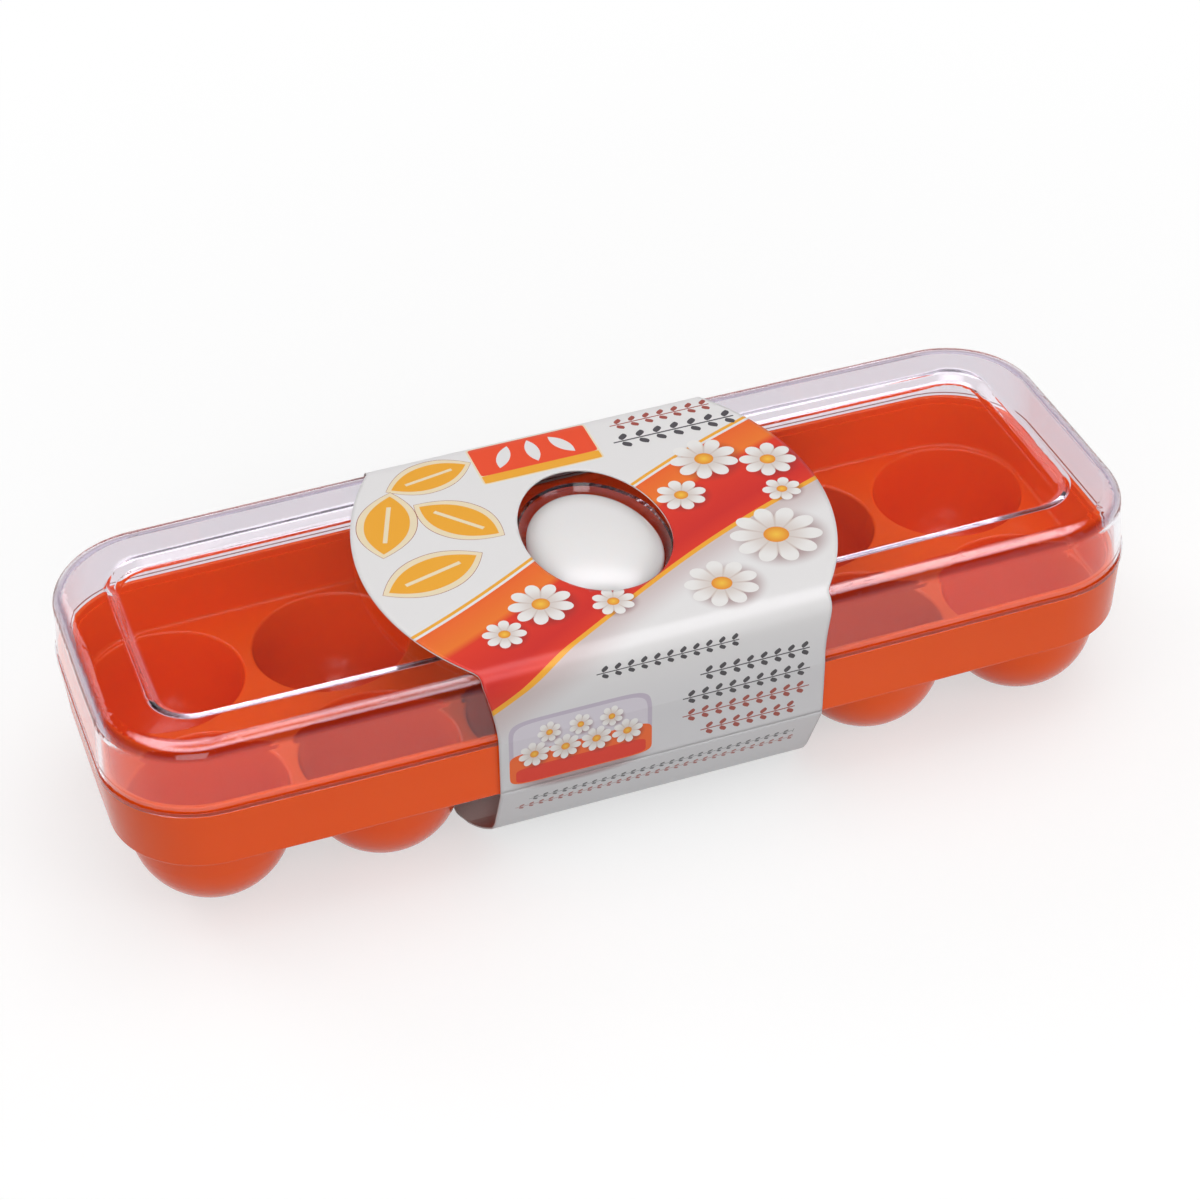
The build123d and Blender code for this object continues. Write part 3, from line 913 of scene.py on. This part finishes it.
def card_strips():
    """The two lines, each with its places along the flat blank."""
    over, under = card_lines()
    over_lengths = run_lengths(over, 0.0)
    under_lengths = run_lengths(under, over_lengths[-1])
    whole = under_lengths[-1]
    top = next(i for i, p in enumerate(over) if p.y > CARD_TOP_Z - MM and p.x > 0)
    middle = over_lengths[top] - over[top].x
    return (
        (over, [length - middle for length in over_lengths]),
        (under, [length - middle - whole for length in under_lengths]),
    )


def make_sleeve():
    """The sleeve as one bent sheet over the top and one under the cups."""
    over, under = card_strips()
    over_piece = sweep_card("card_over", *over, over_half)
    under_piece = sweep_card("card_under", *under, under_half)
    materials = (printed_card(), plain_card())
    for piece in (over_piece, under_piece):
        for material in materials:
            piece.data.materials.append(material)
    cut_window(over_piece)
    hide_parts("sleeve_upper")
    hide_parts("sleeve_lower")
    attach(under_piece, "sleeve_lower")
    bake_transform(over_piece)


# ------------------------------------------------------------------ floor and light, metres
FLOOR_HALF = 6.0
FLOOR_NEAR = 0.1  # up to here the floor takes the keeper's shadow
FLOOR_FAR = 0.55  # from here on it is plain white
FLOOR_GLOW = 0.56  # how white it is by itself near the keeper
FLOOR_COLOUR = 0.48  # its matt grey there, which takes light and shadow
LAMPS = (  # name, place, size, watts
    ("key", (-0.6, -1.3, 0.7), (0.8, 0.8), 6.2),
    ("fill", (0.9, -1.1, 0.6), (0.7, 0.7), 3.8),
    ("rim", (-0.9, 1.2, 0.8), (0.7, 0.7), 4.5),
    ("top", (0.1, -0.1, 1.2), (1.6, 0.9), 6.0),
)
LAMP_AIM = (0.0, 0.0, 0.04)
MIRRORED_LAMPS = ("key",)  # the others would glare in the lid's flat top
ROOM_COLOUR = grey(0.8)
ROOM_LIGHT = 0.48
ROOM_SEEN = (  # the room through the lid, by height: 0 level, 1 straight up
    (0.0, (0.6, 0.54, 0.61, 1.0)),
    (0.3, (0.78, 0.74, 0.8, 1.0)),
    (0.7, (0.97, 0.97, 0.98, 1.0)),
)
ROOM_MIRRORED = (  # a pale ceiling over dim walls
    (0.25, (0.124, 0.112, 0.132, 1.0)),
    (0.45, (0.017, 0.015, 0.017, 1.0)),
    (0.78, (0.017, 0.015, 0.017, 1.0)),
    (0.86, (0.95, 0.92, 1.0, 1.0)),
    (0.95, (0.95, 0.92, 1.0, 1.0)),
    (0.985, (0.03, 0.03, 0.031, 1.0)),
)
CEILING = 6.0  # strength of the mirrored room
BOUNCES = 24  # enough for the lid's many clear walls


def make_floor():
    """White floor that keeps a soft shadow."""
    tree = Finish("floor_white")
    glow = tree.nodes.new("ShaderNodeEmission")
    glow.inputs["Color"].default_value = grey(1.0)
    seen = tree.looking(("Is Camera Ray", "Is Glossy Ray", "Is Transmission Ray"))
    near = tree.fall(tree.length(tree.objects()), FLOOR_NEAR, FLOOR_FAR)
    level = tree.math("MULTIPLY_ADD", near, FLOOR_GLOW - 1.0, 1.0)
    tree.put(tree.both(seen, level), glow.inputs["Strength"])
    matt = tree.nodes.new("ShaderNodeBsdfDiffuse")
    colour = tree.ramp(near, [(0.0, grey(0.0)), (1.0, grey(FLOOR_COLOUR))])
    tree.links.new(colour, matt.inputs["Color"])
    both = tree.nodes.new("ShaderNodeAddShader")
    tree.links.new(glow.outputs[0], both.inputs[0])
    tree.links.new(matt.outputs[0], both.inputs[1])
    mesh = bpy.data.meshes.new("floor")
    corners = [(x * FLOOR_HALF, y * FLOOR_HALF, 0) for x, y in ((-1, -1), (1, -1), (1, 1), (-1, 1))]
    mesh.from_pydata(corners, [], [(0, 1, 2, 3)])
    mesh.materials.append(tree.done(both.outputs[0]))
    floor = bpy.data.objects.new("floor", mesh)
    bpy.context.scene.collection.objects.link(floor)


def make_world():
    """White where it is seen straight; through or in the lid, a room with dim walls."""
    world = bpy.data.worlds.new("studio")
    bpy.context.scene.world = world
    world.use_nodes = True
    tree = Nodes(world.node_tree)
    out = tree.nodes.new("ShaderNodeOutputWorld")
    height = tree.apart(tree.coordinates("Generated"))[2]

    def background(colour, strength):
        node = tree.nodes.new("ShaderNodeBackground")
        tree.put(colour, node.inputs["Color"])
        node.inputs["Strength"].default_value = strength
        return node.outputs[0]

    last = background(ROOM_COLOUR, ROOM_LIGHT)
    for ray, stops, strength, depths in (
        ("Is Glossy Ray", ROOM_MIRRORED, CEILING, ("Diffuse Depth",)),
        ("Is Transmission Ray", ROOM_SEEN, 1.0, ("Diffuse Depth", "Glossy Depth")),
        ("Is Camera Ray", None, 1.0, ()),
    ):
        colour = tree.ramp(height, stops) if stops else grey(1.0)
        sky = background(colour, strength)
        last = tree.mix_shaders(tree.looking((ray,), depths), last, sky)
    tree.links.new(last, out.inputs["Surface"])


def make_lamps():
    for name, place, size, power in LAMPS:
        data = bpy.data.lights.new(name, "AREA")
        data.shape = "RECTANGLE"
        data.size, data.size_y = size
        data.energy = power
        lamp = bpy.data.objects.new(name, data)
        lamp.location = place
        aim = Vector(LAMP_AIM) - Vector(place)
        lamp.rotation_euler = aim.to_track_quat("-Z", "Y").to_euler()
        lamp.visible_glossy = name in MIRRORED_LAMPS
        bpy.context.scene.collection.objects.link(lamp)


def dress(node, material):
    """Gives a CAD node its material."""
    mesh = NODES[node].data
    mesh.materials.clear()
    mesh.materials.append(material)


make_camera()
dress("base_tray", orange_plastic())
dress("lid", clear_plastic())
dress("egg_medallion", white_plastic())
make_sleeve()
make_floor()
make_world()
make_lamps()

bpy.context.scene.view_settings.view_transform = "Standard"
bpy.context.scene.cycles.max_bounces = BOUNCES
bpy.context.scene.cycles.glossy_bounces = BOUNCES
bpy.context.scene.cycles.transmission_bounces = BOUNCES
